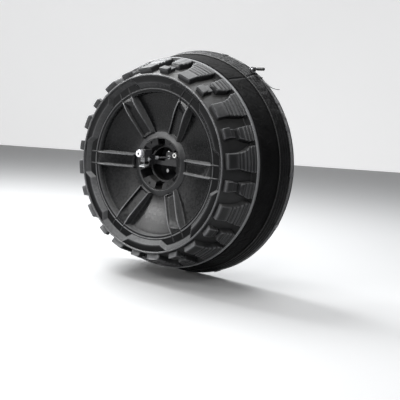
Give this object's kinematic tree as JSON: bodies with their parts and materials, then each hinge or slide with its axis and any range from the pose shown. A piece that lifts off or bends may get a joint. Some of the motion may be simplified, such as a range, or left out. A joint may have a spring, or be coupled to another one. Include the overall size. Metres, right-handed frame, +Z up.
{
  "type": "spare tire cover",
  "caption": "Hard two-shell cover for a rear-mounted spare tyre, with a moulded wheel and lugged tread front, camera arm in the hub and a hinged, strapped rear band.",
  "frame": {"origin": "centre of the wheel stud circle on the back face of the mounting plate", "axes": "+Y along the wheel axis towards the vehicle, so the cover faces -Y; +Z up; +X to the right for someone looking at the front of the cover"},
  "size_m": [0.8728, 0.356, 0.8702],
  "materials": {
    "shell": "satin, fine grain",
    "tread": "satin, fine grain",
    "bead": "polished edge",
    "bezel": "semi-gloss",
    "cup": "satin",
    "band": "matt",
    "rubber": "matt",
    "webbing": "woven",
    "guide": "satin",
    "zinc_steel": "zinc plated",
    "black_steel": "black coat",
    "grey_steel": "grey coat",
    "arm_metal": "satin",
    "camera_black": "satin",
    "lens_ring": "polished",
    "lens": "clear over dark",
    "led": "clear",
    "white_nylon": "satin"
  },
  "bodies": {
    "shell": {"face_shell": "shell", "tread_shell": "tread", "lip_bead": "bead", "face_brackets": "grey_steel", "face_screws": "zinc_steel", "hub_bezel": "bezel", "hub_cup": "cup", "cup_screws": "black_steel", "hub_sleeve": "cup", "mount_plate": "grey_steel", "standoff_posts": "black_steel", "plate_screws": "black_steel", "arm_crossbar": "black_steel", "crossbar_set_screws": "black_steel", "cable_gland": "white_nylon", "gland_nut": "white_nylon", "gland_seal": "rubber", "arm_rod": "arm_metal", "arm_nut": "zinc_steel", "arm_sleeve": "arm_metal", "tilt_bracket": "arm_metal", "bracket_nut": "zinc_steel", "tilt_pin": "zinc_steel", "tilt_pin_nut": "zinc_steel", "band_half_left": "band", "band_flange_left": "band", "flange_gasket": "rubber", "flange_screws": "zinc_steel", "hinge_leaf_left": "black_steel", "hinge_pin": "zinc_steel", "hinge_rivets_left": "zinc_steel", "rear_seal_left": "rubber", "strap_left": "webbing", "strap_guides_left": "guide", "buckle_base": "grey_steel", "buckle_pin": "zinc_steel", "edge_piping_left": "rubber"},
    "camera": {"camera_body": "camera_black", "camera_back_cover": "camera_black", "lens_barrel": "lens_ring", "lens_glass": "lens", "camera_leds": "led"},
    "band_right": {"band_half_right": "band", "band_flange_right": "band", "hinge_leaf_right": "black_steel", "hinge_rivets_right": "zinc_steel", "rear_seal_right": "rubber", "strap_right": "webbing", "strap_guides_right": "guide", "edge_piping_right": "rubber", "strap_keeper": "grey_steel", "strap_tail_long": "webbing", "strap_tail_short": "webbing"},
    "buckle": {"buckle_lever": "black_steel", "lever_grip": "rubber"}
  },
  "joints": [
    {"name": "camera_tilt", "type": "hinge", "parent": "shell", "child": "camera", "pos_m": [0, -0.207, 0.02], "axis": [1, 0, 0], "range_deg": [-20, 15]},
    {"name": "band_open", "type": "hinge", "parent": "shell", "child": "band_right", "pos_m": [-0.2598, 0.084, -0.35759], "axis": [0, 1, 0], "range_deg": [0, 28]},
    {"name": "buckle_lever", "type": "hinge", "parent": "shell", "child": "buckle", "pos_m": [0.24192, 0.084, 0.37111], "axis": [0, 1, 0], "range_deg": [-75, 26]}
  ]
}
